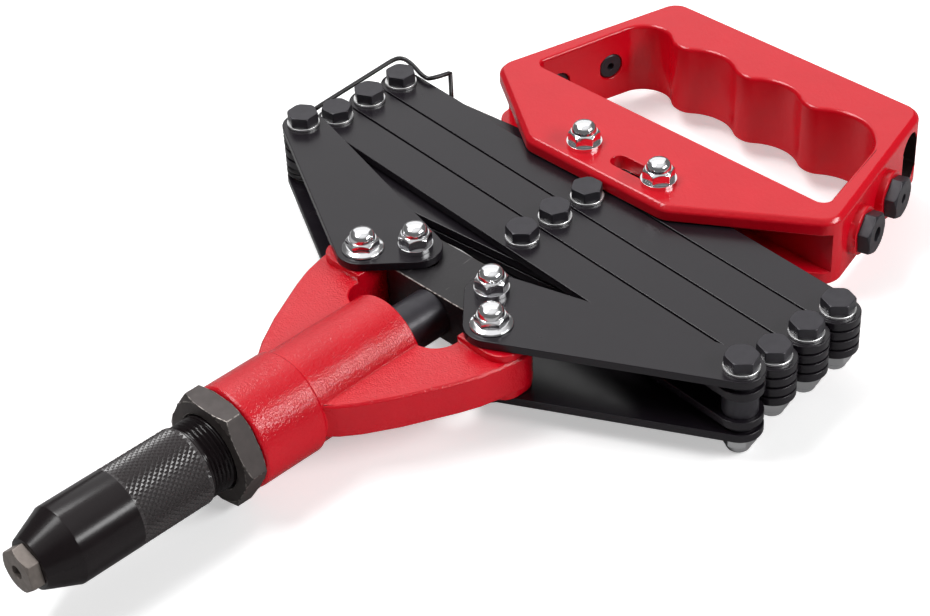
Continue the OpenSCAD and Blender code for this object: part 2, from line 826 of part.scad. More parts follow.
// End groove that touches the side wall, the front of the grip and the nearest ridge
function end_groove(side, ridge_y) =
    let (m = sqrt(1 + opening_slope * opening_slope) - opening_slope,
        wide = opening_half(grip_front), d = wide - abs(ridge_y), e = ridge_x - grip_front,
        p = m * d + ridge_radius - e, c = e * e + d * d - ridge_radius * ridge_radius,
        r = (p - sqrt(p * p - m * m * c)) / (m * m))
    [grip_front - r, side * (wide - m * r), r];
grooves = [end_groove(1, ridges[0].y),
    [groove_x, grip_middle + finger_step / 2, finger_radius],
    [groove_x, grip_middle - finger_step / 2, finger_radius],
    end_groove(-1, ridges[2].y)];
function middle(groove) = [groove.x, groove.y];
function touch(groove, toward) =
    middle(groove) + groove.z * unit(toward - middle(groove));
module finger_opening() {
    wall_normal = unit([opening_slope, 1]);
    left = grooves[0];
    right = grooves[3];
    front = opening_front + opening_corner;
    difference() {
        union() {
            rounded([[opening_front, -opening_half(opening_front)],
                [front + 10, -opening_half(front + 10)], [front + 10, opening_half(front + 10)],
                [opening_front, opening_half(opening_front)]], opening_corner);
            polygon(concat([[front, -opening_half(front)], [front, opening_half(front)],
                middle(left) + left.z * wall_normal],
                [for (i = [0:2]) each [touch(grooves[i], ridges[i]),
                    touch(grooves[i + 1], ridges[i])]],
                [middle(right) + right.z * [wall_normal.x, -wall_normal.y]]));
            for (g = grooves) {
                translate(middle(g)) circle(g.z);
            }
        }
        for (p = ridges) {
            translate(p) circle(ridge_radius);
        }
    }
}

module handle_casting() {
    core_x = 83.2;
    core_half = 6.2;
    core_high = 10.5;
    core_end = grip_core_depth - 65;
    slot_end = handle_pivot.y - handle_arm + 0.5;
    washer_path = handle_washer_radius + 0.15;
    color(red) difference() {
        translate([handle_pivot.x, handle_y, 0]) difference() {
            union() {
                handle_body();
                spare_places() translate([-boss_high, 0, 0]) rotate([0, 90, 0])
                    cylinder(r = boss_radius, h = boss_high + 4);
            }
            translate([-40, -120, -channel_half])
                cube([40 + channel_back, 240, 2 * channel_half]);
            translate([0, 0, -30]) linear_extrude(60) finger_opening();
            translate([core_x, core_end, 0]) rotate([90, 0, 0])
                bar([0, core_half - core_high], [0, core_high - core_half], core_half, 0,
                    grip_core_depth + 20);
            spare_places() translate([-10, 0, 0]) rotate([0, 90, 0])
                cylinder(r = nose_thread + pin_gap, h = 24);
        }
        at(handle_pivot, -30) cylinder(r = hole_radius, h = 60);
        bar(slot_pivot, [slot_pivot.x, slot_end], pin_radius + 0.25, -30, 60);
        both_faces() {
            at(handle_pivot, spot_high) cylinder(r = washer_path, h = 5);
            bar(slot_pivot, [slot_pivot.x, slot_end], washer_path, spot_high, 5);
        }
    }
}

module handle_pivot_bolt() {
    color(black) mirror([0, 0, 1])
        hex_bolt(handle_pivot, handle_seat, -handle_seat - bolt_grip, 40);
}
module handle_pivot_nut() {
    color(steel) {
        cap_nut(handle_pivot, handle_seat, 14, 0);
        both_faces() ring(handle_pivot, spot_high, handle_washer_thick,
            handle_washer_radius, hole_radius);
    }
}
module spare_nosepieces() {
    color(dark) translate([handle_pivot.x, handle_y, 0]) spare_places()
        translate([-boss_high - nose_face, 0, 0])
        nosepiece_shape($bore, 13, [[nose_thread - 0.7, 13.7], [0, 13.7]]);
}

head_casting();
nose_sleeve();
lock_nut();
nosepiece();
head_pivot_bolts();
head_pivot_nuts();
drawbar();
crosshead();
jaw_case();
jaws();
jaw_pusher();
jaw_spring();
left_crank_top();
left_crank_bottom();
left_crosshead_bolt();
left_crosshead_nut();
left_end_bolt();
left_end_washers();
left_end_nut();
right_crank_top();
right_crank_bottom();
right_crosshead_bolt();
right_crosshead_nut();
right_end_bolt();
right_end_washers();
right_end_nut();
latch_wire();
inner_links_1();
outer_links_1();
outer_1_pin_sleeve();
outer_1_bolts();
outer_1_washers();
outer_1_nuts();
inner_links_2();
outer_links_2();
outer_2_bolts();
outer_2_washers();
outer_2_nuts();
inner_links_3();
outer_links_3();
outer_3_bolts();
outer_3_washers();
outer_3_nuts();
inner_links_4();
slot_bolt();
slot_nut();
outer_links_4();
outer_4_bolt();
outer_4_washers();
outer_4_nut();
centre_rivet();
handle_casting();
handle_pivot_bolt();
handle_pivot_nut();
spare_nosepieces();
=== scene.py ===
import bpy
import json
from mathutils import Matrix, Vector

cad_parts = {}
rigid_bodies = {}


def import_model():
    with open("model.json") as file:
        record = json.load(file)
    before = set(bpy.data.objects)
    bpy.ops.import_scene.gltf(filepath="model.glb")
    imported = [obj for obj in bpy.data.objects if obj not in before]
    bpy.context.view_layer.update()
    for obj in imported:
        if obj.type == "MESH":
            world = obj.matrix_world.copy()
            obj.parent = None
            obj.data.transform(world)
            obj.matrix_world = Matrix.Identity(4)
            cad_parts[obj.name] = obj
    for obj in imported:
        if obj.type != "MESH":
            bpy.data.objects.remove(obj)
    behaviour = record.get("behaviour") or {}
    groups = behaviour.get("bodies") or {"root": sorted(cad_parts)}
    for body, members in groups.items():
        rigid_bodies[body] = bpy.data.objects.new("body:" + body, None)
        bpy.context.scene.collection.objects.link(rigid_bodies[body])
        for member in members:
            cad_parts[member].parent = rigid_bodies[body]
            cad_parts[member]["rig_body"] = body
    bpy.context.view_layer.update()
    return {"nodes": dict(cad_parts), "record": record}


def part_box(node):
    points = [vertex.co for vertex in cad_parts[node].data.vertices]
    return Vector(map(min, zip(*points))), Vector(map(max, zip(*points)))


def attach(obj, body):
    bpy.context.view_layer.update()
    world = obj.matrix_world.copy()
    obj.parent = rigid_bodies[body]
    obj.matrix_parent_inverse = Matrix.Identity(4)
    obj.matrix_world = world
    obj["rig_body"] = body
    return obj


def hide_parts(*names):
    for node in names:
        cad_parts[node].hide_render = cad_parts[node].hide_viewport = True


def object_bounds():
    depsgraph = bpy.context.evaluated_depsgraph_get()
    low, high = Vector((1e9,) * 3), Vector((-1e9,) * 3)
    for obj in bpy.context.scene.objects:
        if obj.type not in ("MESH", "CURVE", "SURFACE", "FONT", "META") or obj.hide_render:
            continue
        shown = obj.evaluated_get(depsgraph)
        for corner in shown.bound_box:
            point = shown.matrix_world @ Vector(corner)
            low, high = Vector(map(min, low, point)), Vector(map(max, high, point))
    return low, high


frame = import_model()

import json
import math
from contextlib import contextmanager

import bpy
from mathutils import Matrix, Vector

MM = 0.001
OVER = Matrix.Identity(4)
UNDER = Matrix.Rotation(math.radians(180), 4, "X")
ALONG_X = Matrix.Rotation(math.radians(90), 4, "Y")

scene = bpy.context.scene
scene.view_settings.view_transform = "Standard"
nodes = frame["nodes"]
slot_of = {part["node"]: part["material_slot"] for part in frame["record"]["subparts"]}


# Camera: its place in millimetres, the directions of the image's right and up, and its lens

CAMERA_PLACE = Vector((-222.867, -438.354, 453.309))
CAMERA_RIGHT = Vector((0.712865, -0.700093, -0.041150))
CAMERA_UP = Vector((0.451789, 0.413568, 0.790473))
LENS = 87.43
SENSOR = 36.0


def add_camera():
    bpy.ops.object.camera_add()
    camera = bpy.context.object
    axes = Matrix((CAMERA_RIGHT, CAMERA_UP, CAMERA_RIGHT.cross(CAMERA_UP))).transposed()
    camera.matrix_world = Matrix.Translation(CAMERA_PLACE * MM) @ axes.to_4x4()
    camera.data.lens = LENS
    camera.data.sensor_width = SENSOR
    scene.camera = camera


add_camera()


# Shaders

# A Mix node has sockets for several types, and these are the numbers of those for colours
MIX_SHARE = 0
MIX_FIRST = 6
MIX_SECOND = 7
MIX_RESULT = 2


class Value:
    """A socket in a shader expression: an operator adds its Math node."""

    def __init__(self, shader, socket):
        self.shader = shader
        self.socket = socket

    def math(self, operation, *values):
        return self.shader.node("ShaderNodeMath", {"operation": operation}, dict(enumerate(values)))

    def __add__(self, other):
        return self.math("ADD", self, other)

    def __mul__(self, other):
        return self.math("MULTIPLY", self, other)

    __radd__ = __add__
    __rmul__ = __mul__

    def rise(self, start, end):
        """0 up to start, 1 from end on, and smooth between them."""
        sockets = {"Value": self, "From Min": start, "From Max": end}
        return self.shader.node("ShaderNodeMapRange", {"interpolation_type": "SMOOTHSTEP"}, sockets)


class Shader:
    """A node tree that is built from expressions."""

    def __init__(self, tree):
        self.tree = tree

    def feed(self, socket, value):
        if isinstance(value, Value):
            self.tree.links.new(value.socket, socket)
        else:
            socket.default_value = value

    def node(self, kind, settings, sockets, output=0):
        """Adds a node: first its settings, then the values or links of its sockets."""
        made = self.tree.nodes.new(kind)
        for name, value in settings.items():
            setattr(made, name, value)
        for name, value in sockets.items():
            self.feed(made.inputs[name], value)
        return Value(self, made.outputs[output])


class Finish(Shader):
    """A material: one surface shader and what varies over it."""

    def __init__(self, name, **sockets):
        self.material = bpy.data.materials.new(name)
        self.material.use_nodes = True
        super().__init__(self.material.node_tree)
        self.surface = self.tree.nodes["Principled BSDF"]
        for key, value in sockets.items():
            self.set(key.replace("_", " ").title().replace("Ior", "IOR"), value)
        self.place = self.node("ShaderNodeTexCoord", {}, {}, "Object")

    def set(self, socket, value):
        self.feed(self.surface.inputs[socket], value)

    def mix(self, share, first, second):
        """The colour that lies a share of the way from the first to the second."""
        sockets = {MIX_SHARE: share, MIX_FIRST: (*first, 1), MIX_SECOND: (*second, 1)}
        return self.node("ShaderNodeMix", {"data_type": "RGBA"}, sockets, MIX_RESULT)

    def noise(self, size, detail=2.0, roughness=0.5, stretch=(1, 1, 1)):
        """Noise whose features are about size millimetres, times stretch along each axis."""
        scale = [1 / (size * MM * s) for s in stretch]
        place = self.node("ShaderNodeMapping", {}, {"Vector": self.place, "Scale": scale})
        sockets = {"Vector": place, "Scale": 1.0, "Detail": detail, "Roughness": roughness}
        return self.node("ShaderNodeTexNoise", {}, sockets)

    def bump(self, height, depth):
        """Raises the surface by height times depth, in millimetres."""
        sockets = {"Strength": 1.0, "Distance": depth * MM, "Height": height}
        self.set("Normal", self.node("ShaderNodeBump", {}, sockets))


# Finishes

def red_coat(name, size, depth, gloss):
    """Powder coat on a casting, with an orange peel of a size and a depth in millimetres."""
    coat = Finish(name, specular_ior_level=0.5)
    coat.set("Base Color", coat.mix(coat.noise(14), (0.70, 0.002, 0.014), (0.62, 0.001, 0.011)))
    peel = coat.noise(size)
    coat.set("Roughness", gloss + 0.1 * peel)
    coat.bump(peel + 0.8 * coat.noise(3 * size), depth)
    return coat.material


def plate_black():
    """Satin paint of the plates."""
    coat = Finish("plate_black", specular_ior_level=0.45)
    coat.set("Base Color", coat.mix(coat.noise(30), (0.013, 0.010, 0.014), (0.010, 0.008, 0.011)))
    coat.set("Roughness", 0.2 + 0.1 * coat.noise(7))
    coat.bump(coat.noise(5), 0.012)
    return coat.material


def black_oxide():
    """Turned and blackened steel of the nose sleeve, with fine marks that run round it."""
    coat = Finish("black_oxide", specular_ior_level=0.3)
    marks = coat.noise(0.5, stretch=(1, 40, 40))
    coat.set("Base Color", coat.mix(coat.noise(6), (0.014, 0.010, 0.011), (0.009, 0.006, 0.007)))
    coat.set("Roughness", 0.18 + 0.06 * marks)
    coat.bump(coat.noise(2.5), 0.01)
    return coat.material


def knurl_painted_sheen():
    """The same steel on the knurl, painted lighter as a sheen that stands in for the glints off its
    facets, with a tone that varies at random.
    """
    coat = Finish("knurl_painted_sheen", specular_ior_level=0.7)
    tone_noise = coat.noise(2.5, 3.0)
    # Painted sheen: both tones are lighter than the sleeve's steel, in place of the facets' glints
    coat.set("Base Color", coat.mix(tone_noise, (0.048, 0.040, 0.041), (0.026, 0.022, 0.023)))
    coat.set("Roughness", 0.2 + 0.12 * tone_noise)
    return coat.material


def painted_hollow_shade():
    """Painted shade in the grip's hollow: a rough, near-black red that stands in for the shade inside
    it.
    """
    metal = Finish("painted_hollow_shade")
    grain = metal.noise(1.5, 3.0)
    # Painted shade: near-black reds where the hollow lies in shade
    metal.set("Base Color", metal.mix(grain, (0.030, 0.012, 0.012), (0.012, 0.006, 0.006)))
    metal.set("Roughness", 0.5 + 0.2 * grain)
    metal.bump(grain, 0.3)
    return metal.material


def dark_steel():
    """Stained steel of the lock nut."""
    coat = Finish("dark_steel", metallic=0.45)
    stain = coat.noise(3.5, 4.0)
    coat.set("Base Color", coat.mix(stain, (0.095, 0.080, 0.077), (0.050, 0.042, 0.040)))
    coat.set("Roughness", 0.36 + 0.2 * stain)
    coat.bump(coat.noise(0.7, 3.0), 0.01)
    return coat.material


def worn_edge():
    """Edges that are rubbed bright in places."""
    metal = Finish("worn_edge", metallic=0.85)
    tone_noise = metal.noise(1.6, 3.0)
    bright = tone_noise.rise(0.35, 0.65)
    metal.set("Base Color", metal.mix(bright, (0.06, 0.052, 0.048), (0.34, 0.31, 0.29)))
    metal.set("Roughness", 0.34 + 0.15 * tone_noise)
    return metal.material


def nosepiece_steel():
    """Bare and stained steel of the nosepiece."""
    metal = Finish("nosepiece_steel", metallic=0.55)
    stain = metal.noise(2.2, 4.0)
    metal.set("Base Color", metal.mix(stain, (0.30, 0.26, 0.235), (0.16, 0.138, 0.125)))
    metal.set("Roughness", 0.36 + 0.2 * stain)
    metal.bump(metal.noise(0.6, 3.0), 0.012)
    return metal.material


def forged_black():
    """Grained black of the crosshead and the jaw case, with a few long scratches."""
    coat = Finish("forged_black", specular_ior_level=0.4)
    streaks = coat.noise(1.1, 3.0, 0.6, stretch=(9, 1, 1))
    scratch = streaks.rise(0.64, 0.72) * coat.noise(11).rise(0.45, 0.6)
    coat.set("Base Color", coat.mix(scratch, (0.016, 0.014, 0.016), (0.12, 0.11, 0.11)))
    grain = coat.noise(1.3, 3.0)
    coat.set("Roughness", 0.26 + 0.16 * grain)
    coat.bump(grain + 1.5 * coat.noise(5), 0.05)
    return coat.material


def ground_steel(name, base, rough):
    """Bright steel whose fine lines run round X."""
    metal = Finish(name, metallic=1.0)
    lay = metal.noise(0.4, stretch=(1, 12, 12))
    metal.set("Base Color", metal.mix(lay, base, [0.85 * part for part in base]))
    metal.set("Roughness", rough + 0.1 * lay)
    return metal.material


def wire_black():
    """Blackened spring wire of the latch."""
    coat = Finish("wire_black")
    coat.set("Base Color", coat.mix(coat.noise(8), (0.014, 0.012, 0.014), (0.009, 0.008, 0.009)))
    coat.set("Roughness", 0.25 + 0.1 * coat.noise(3))
    return coat.material


def bolt_black():
    """Blackened steel of the bolts, the drawbar, the pin sleeve and the spare nosepieces."""
    coat = Finish("bolt_black", metallic=0.25)
    stain = coat.noise(3, 3.0)
    coat.set("Base Color", coat.mix(stain, (0.040, 0.037, 0.045), (0.022, 0.020, 0.025)))
    coat.set("Roughness", 0.28 + 0.16 * stain)
    coat.bump(coat.noise(0.9), 0.008)
    return coat.material


def chrome_nut():
    """Chrome of the cap nuts, slightly smeared."""
    metal = Finish("chrome_nut", metallic=1.0)
    smear = metal.noise(2.5)
    metal.set("Base Color", metal.mix(smear, (0.93, 0.93, 0.94), (0.86, 0.86, 0.88)))
    metal.set("Roughness", 0.08 + 0.1 * smear)
    metal.bump(metal.noise(1.8), 0.02)
    return metal.material


finishes = {
    "red_coat": red_coat("red_coat_handle", size=1.1, depth=0.08, gloss=0.15),
    "plate_black": plate_black(),
    "black_oxide": black_oxide(),
    "dark_steel": dark_steel(),
    "nosepiece_steel": nosepiece_steel(),
    "forged_black": forged_black(),
    "jaw_steel": ground_steel("jaw_steel", (0.42, 0.41, 0.40), rough=0.3),
    "spring_steel": ground_steel("spring_steel", (0.5, 0.49, 0.48), rough=0.28),
    "wire_black": wire_black(),
    "bolt_black": bolt_black(),
    "chrome_nut": chrome_nut(),
    "zinc": ground_steel("zinc", (0.93, 0.93, 0.93), rough=0.36),
}
red_head = red_coat("red_coat_head", size=0.6, depth=0.2, gloss=0.09)
worn = worn_edge()
knurl_sheen = knurl_painted_sheen()
hollow_shade = painted_hollow_shade()

# The CAD nodes that no piece replaces, such as the jaws, are shown in these finishes
for name, cad_node in nodes.items():
    cad_node.data.materials.clear()
    cad_node.data.materials.append(finishes[slot_of[name]])


# Modelling

OWN_SLOT = -1
SECOND_SLOT = 1
SMOOTH_ANGLE = 40
CASTING_ANGLE = 28
CASTING_STEPS = 3
COPY_GAP = 0.02
TURNED_GAP = 0.0005


def select_only(piece):
    bpy.ops.object.select_all(action="DESELECT")
    piece.select_set(True)
    bpy.context.view_layer.objects.active = piece


@contextmanager
def editing(piece):
    """Selects all of a piece in edit mode, for the operators inside the with statement."""
    select_only(piece)
    bpy.ops.object.mode_set(mode="EDIT")
    bpy.ops.mesh.select_all(action="SELECT")
    yield
    bpy.ops.object.mode_set(mode="OBJECT")


def apply_modifier(piece, kind, **settings):
    modifier = piece.modifiers.new(kind.title(), kind)
    for key, value in settings.items():
        setattr(modifier, key, value)
    select_only(piece)
    bpy.ops.object.modifier_apply(modifier=modifier.name)


def clean(piece, gap):
    """Merges points that are closer than a gap and points all faces outwards."""
    with editing(piece):
        bpy.ops.mesh.remove_doubles(threshold=gap)
        bpy.ops.mesh.normals_make_consistent(inside=False)


def smooth(piece, angle):
    select_only(piece)
    bpy.ops.object.shade_smooth_by_angle(angle=math.radians(angle))


def shade_evenly(piece):
    """Smooths a rounded piece, and lets its large faces lead the shading of its edges."""
    smooth(piece, SMOOTH_ANGLE)
    apply_modifier(piece, "WEIGHTED_NORMAL", keep_sharp=True)


def round_edges(piece, width, steps=2, angle=32, slot=OWN_SLOT):
    """Rounds the edges that are sharper than an angle, and may give them another material."""
    apply_modifier(piece, "BEVEL", width=width, segments=steps, limit_method="ANGLE",
        angle_limit=math.radians(angle), use_clamp_overlap=False, material=slot)
    shade_evenly(piece)


def face_sides(mesh):
    """The faces at each edge, with the edge's two points in the order that each face has."""
    sides = {}
    for face in mesh.polygons:
        corners = list(face.vertices)
        for first, second in zip(corners, corners[1:] + corners[:1]):
            sides.setdefault(tuple(sorted((first, second))), []).append((face, first, second))
    return sides


def round_outer_edges(piece, width_at, widest):
    """Rounds the convex edges of a casting. A function of an edge's middle and of its two faces'
    directions gives each edge's width, up to the widest, all in millimetres."""
    mesh = piece.data
    sides = face_sides(mesh)
    weights = mesh.attributes.new("bevel_weight_edge", "FLOAT", "EDGE")
    for edge in mesh.edges:
        pair = sides[tuple(sorted(edge.vertices))]
        if len(pair) != 2:
            continue
        (face, first, second), (other, _, _) = pair
        along = mesh.vertices[second].co - mesh.vertices[first].co
        convex = face.normal.cross(other.normal).dot(along) > 0
        if convex and face.normal.angle(other.normal) > math.radians(CASTING_ANGLE):
            edge_middle = (mesh.vertices[first].co + mesh.vertices[second].co) / (2 * MM)
            width = width_at(edge_middle, face.normal, other.normal)
            weights.data[edge.index].value = min(1.0, width / widest)
    apply_modifier(piece, "BEVEL", width=widest * MM, segments=CASTING_STEPS,
        limit_method="WEIGHT", use_clamp_overlap=False)
    shade_evenly(piece)


def fit(piece, node, finish, second=None):
    """Gives a piece its finish, and perhaps a second one, and lets it take a node's place."""
    piece.data.materials.clear()
    piece.data.materials.append(finish)
    if second:
        piece.data.materials.append(second)
    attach(piece, nodes[node]["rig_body"])
    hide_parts(node)
    return piece


def copied(node, finish=None, second=None, change=None, whole=True):
    """A copy of a node that takes its place, with each flat face in one piece where whole is
    true. A function may change its mesh first."""
    piece = bpy.data.objects.new(node + "_finished", nodes[node].data.copy())
    scene.collection.objects.link(piece)
    if change:
        change(piece.data)
    clean(piece, COPY_GAP * MM)
    if whole:
        with editing(piece):
            bpy.ops.mesh.dissolve_limited(angle_limit=math.radians(1))
    return fit(piece, node, finish or finishes[slot_of[node]], second)


def softened(node, width, steps=2, finish=None, second=None, whole=True):
    """A copy of a node with its sharp edges rounded, in the second finish where there is one."""
    piece = copied(node, finish, second, whole=whole)
    round_edges(piece, width * MM, steps, slot=SECOND_SLOT if second else OWN_SLOT)


def turned(name, rings, segments):
    """A closed body about Z, in millimetres: a circle is extruded once for each ring, and then
    each ring takes its radius and height, which a function of the angle may give."""
    bpy.ops.object.select_all(action="DESELECT")
    bpy.ops.mesh.primitive_circle_add(vertices=segments, radius=1)
    piece = bpy.context.object
    piece.name = name
    with editing(piece):
        for _ in rings[1:]:
            bpy.ops.mesh.extrude_region_move(TRANSFORM_OT_translate={"value": (0, 0, 1)})
    for point in piece.data.vertices:
        angle = math.atan2(point.co.y, point.co.x)
        ring = rings[round(point.co.z)]
        radius, height = ring(angle) if callable(ring) else ring
        point.co = (radius * math.cos(angle), radius * math.sin(angle), height)
    clean(piece, TURNED_GAP)
    return piece


def placed(piece, place):
    """Turns and moves a piece that was made in millimetres, and puts its place in its mesh."""
    piece.data.transform(Matrix.Scale(MM, 4) @ place)
    return piece


def moved_copy(piece, place):
    copy = piece.copy()
    copy.data = piece.data.copy()
    scene.collection.objects.link(copy)
    return placed(copy, place)


def joined(name, pieces):
    select_only(pieces[0])
    for piece in pieces:
        piece.select_set(True)
    bpy.ops.object.join()
    pieces[0].name = name
    return pieces[0]


def discard(*pieces):
    for piece in pieces:
        bpy.data.objects.remove(piece)


def hexagon(flats, turn=0.0):
    """Radius of a hexagon at an angle. One corner is at turn degrees."""
    sixth = math.radians(60)
    return lambda angle: flats / 2 / math.cos((angle - math.radians(turn)) % sixth - sixth / 2)


def ring_at(outline, height):
    """A ring that follows an outline at one height."""
    return lambda angle: (outline(angle), height)


def chamfered(outline, cut, height, slope):
    """Two rings of a hexagon's end whose corners a cone cuts: the cone's edge, then the end's."""
    def side(angle):
        radius = outline(angle)
        return radius, height - slope * max(0.0, radius - cut)

    def end(angle):
        return min(outline(angle), cut), height

    return side, end


# Nose sleeve, in millimetres along X: its face, cone, knurl, relief, thread, back and bore

NOSE_FACE = 4.5
NOSE_RIM = 8.75
NOSE_BORE = 5.05
CONE_BACK = 15.0
CONE_RADIUS = 13.0
SLEEVE_RADIUS = 13.25
KNURL = (36.7, 63.0)
KNURL_ROWS = 24
KNURL_POINTS = 92
KNURL_RISE = 0.04
KNURL_DEPTH = 0.42
KNURL_FLOOR = 12.5
RELIEF_RADIUS = 12.2
THREAD = (64.4, 71.4)
THREAD_PITCH = 1.5
THREAD_STEP = 0.25
THREAD_RADII = (11.75, 12.6)
THREAD_FLANK = 2.6
THREAD_LAND = 0.15
SHANK_RADIUS = 12.6
SHANK_CHAMFER = 0.9
SLEEVE_BACK = 97
SLEEVE_BORE = 10.3
BORE_FRONT = 16.5
BORE_CONE = 14.5


def knurl_ring(row, height):
    """Ring of the knurl: peaks and hollows take turns round it, and from ring to ring."""
    def ring(angle):
        column = round(angle / (2 * math.pi) * KNURL_POINTS)
        return SLEEVE_RADIUS + KNURL_RISE - KNURL_DEPTH * ((row + column) % 2), height
    return ring


def thread_ring(height):
    """Ring of the thread: a flat crest at half a turn, and flanks that fall from it to the root.
    They wind round from ring to ring, and the last turn fades out."""
    root, crest = THREAD_RADII

    def ring(angle):
        turn = (height / THREAD_PITCH - angle / (2 * math.pi)) % 1
        depth = min(1.0, max(0.0, THREAD_FLANK * abs(turn - 0.5) - THREAD_LAND))
        fade = min(1.0, (THREAD[1] - height) / THREAD_PITCH)
        return crest - (crest - root) * depth * fade, height
    return ring


def front_profile():
    """From the nosepiece's seat over the cone to the knurl."""
    return [(NOSE_BORE, NOSE_FACE), (NOSE_RIM - 0.45, NOSE_FACE), (NOSE_RIM - 0.15, NOSE_FACE + 0.1),
        (NOSE_RIM, NOSE_FACE + 0.35), (CONE_RADIUS, CONE_BACK), (CONE_RADIUS + 0.2, CONE_BACK + 0.35),
        (SLEEVE_RADIUS, CONE_BACK + 0.9), (SLEEVE_RADIUS, KNURL[0] - 0.4),
        (SLEEVE_RADIUS, KNURL[0] - 0.05), (SLEEVE_RADIUS - 0.2, KNURL[0] + 0.1)]


def relief_profile():
    """From the knurl down to the relief and up to the thread."""
    return [(SLEEVE_RADIUS - 0.15, KNURL[1]), (RELIEF_RADIUS + 0.15, KNURL[1] + 0.4),
        (RELIEF_RADIUS, KNURL[1] + 0.6), (RELIEF_RADIUS, THREAD[0] - 0.5),
        (RELIEF_RADIUS + 0.1, THREAD[0] - 0.2)]


def back_profile():
    """From the thread over the back end and through the bore to the front."""
    return [(SHANK_RADIUS, THREAD[1] + 0.2), (SHANK_RADIUS, SLEEVE_BACK - 1),
        (SHANK_RADIUS - SHANK_CHAMFER, SLEEVE_BACK), (SLEEVE_BORE, SLEEVE_BACK),
        (SLEEVE_BORE, BORE_FRONT), (NOSE_BORE, BORE_CONE), (NOSE_BORE, NOSE_FACE)]


def nose_sleeve():
    row_step = (KNURL[1] - KNURL[0]) / KNURL_ROWS
    thread_rows = int((THREAD[1] - THREAD[0]) / THREAD_STEP) + 1
    knurl = [knurl_ring(row, KNURL[0] + row * row_step) for row in range(1, KNURL_ROWS)]
    thread = [thread_ring(THREAD[0] + THREAD_STEP * row) for row in range(thread_rows)]
    rings = front_profile() + knurl + relief_profile() + thread + back_profile()
    piece = turned("nose_sleeve_finished", rings, KNURL_POINTS)
    with editing(piece):
        bpy.ops.mesh.quads_convert_to_tris(quad_method="SHORTEST_DIAGONAL")
    smooth(piece, angle=24)
    fit(placed(piece, ALONG_X), "nose_sleeve", finishes["black_oxide"], knurl_sheen)
    # The knurl's faces take the finish with the painted sheen
    for face in piece.data.polygons:
        x, y, z = face.center / MM
        if KNURL[0] < x < KNURL[1] and math.hypot(y, z) > KNURL_FLOOR:
            face.material_index = SECOND_SLOT


nose_sleeve()


# Lock nut

LOCK_FRONT = 71.6
LOCK_BACK = 79.4
LOCK_FLATS = 34.3
LOCK_CUT = 17.45
LOCK_SLOPE = 0.5
LOCK_BORE = 12.65
LOCK_MOUTH = 13.3
MOUTH_DEPTH = 0.6


def lock_nut():
    outline = hexagon(LOCK_FLATS, turn=30)
    front_side, front_end = chamfered(outline, LOCK_CUT, LOCK_FRONT, -LOCK_SLOPE)
    back_side, back_end = chamfered(outline, LOCK_CUT, LOCK_BACK, LOCK_SLOPE)
    start = (LOCK_BORE, LOCK_FRONT + MOUTH_DEPTH)
    rings = [start, (LOCK_MOUTH, LOCK_FRONT), front_end, front_side, back_side, back_end,
        (LOCK_MOUTH, LOCK_BACK), (LOCK_BORE, LOCK_BACK - MOUTH_DEPTH), start]
    piece = turned("lock_nut_finished", rings, segments=96)
    fit(placed(piece, ALONG_X), "lock_nut", finishes["dark_steel"], worn)
    round_edges(piece, width=0.22 * MM, angle=18, slot=SECOND_SLOT)


lock_nut()


# Fasteners: a hexagon bolt, two kinds of cap nut and a washer, copied to their places. The
# dome is that of a cap nut, as the radius and height of each ring

FLATS = 10
FASTENER_SEGMENTS = 72
FOOT_RADIUS = 4.7
HEAD_HEIGHT = 4
HEAD_CUT = 5.2
HEAD_SLOPE = 0.7
DISH_RADIUS = 3.9
DISH_DEPTH = 0.08
PIN_RADIUS = 3
PIN_CHAMFER = 0.3
BORE_RADIUS = PIN_RADIUS + 0.05
BORE_DEPTH = 5
NUT_GRIP = 4.6
NUT_HEIGHT = 4.1
NUT_CUT = 4.65
NUT_SLOPE = 0.9
FLANGE_RADIUS = 7.15
FLANGE_HEIGHT = 1.4
DOME = [(4.55, 4.1), (4.42, 4.02), (4.4, 4.3), (4.36, 4.8), (4.18, 5.5), (3.8, 6.2), (3.2, 6.75),
    (2.35, 7.12), (1.2, 7.34), (0, 7.4)]
LEFT = 1
RIGHT = -1
LINK_PAIRS = 4


def middle(node):
    low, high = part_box(node)
    return (low + high) / 2 / MM


def seat_height(bolt, below=False):
    """How far from the tool's middle plane the head of a bolt bears, above or below it."""
    low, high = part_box(bolt)
    return (-low.z if below else high.z) / MM - HEAD_HEIGHT


left_end = middle("left_end_bolt")
pitch = (middle("outer_4_bolt").x - left_end.x) / (LINK_PAIRS - 1)


def side_pivot(k, side):
    """Pivot k of the linkage's left or right side, counted from the head."""
    return Vector((left_end.x + (k - 1) * pitch, side * left_end.y, 0))


def centre_pivot(k):
    """The pivot between the side pivots k and k + 1."""
    return Vector((left_end.x + (k - 0.5) * pitch, 0, 0))


def bolt_shape(shank):
    """Hexagon bolt: the underside of its head is at 0, and its shank reaches down."""
    outline = hexagon(FLATS)
    side, end = chamfered(outline, HEAD_CUT, HEAD_HEIGHT, HEAD_SLOPE)
    rings = [(0, -shank), (PIN_RADIUS - PIN_CHAMFER, -shank), (PIN_RADIUS, -shank + PIN_CHAMFER),
        (PIN_RADIUS, 0), (FOOT_RADIUS, 0), (FOOT_RADIUS + 0.15, 0.15), ring_at(outline, 0.25),
        side, end, (DISH_RADIUS, HEAD_HEIGHT), (DISH_RADIUS - 0.3, HEAD_HEIGHT - DISH_DEPTH),
        (0, HEAD_HEIGHT - DISH_DEPTH)]
    piece = turned("bolt", rings, FASTENER_SEGMENTS)
    round_edges(piece, width=0.16, angle=25)
    return piece


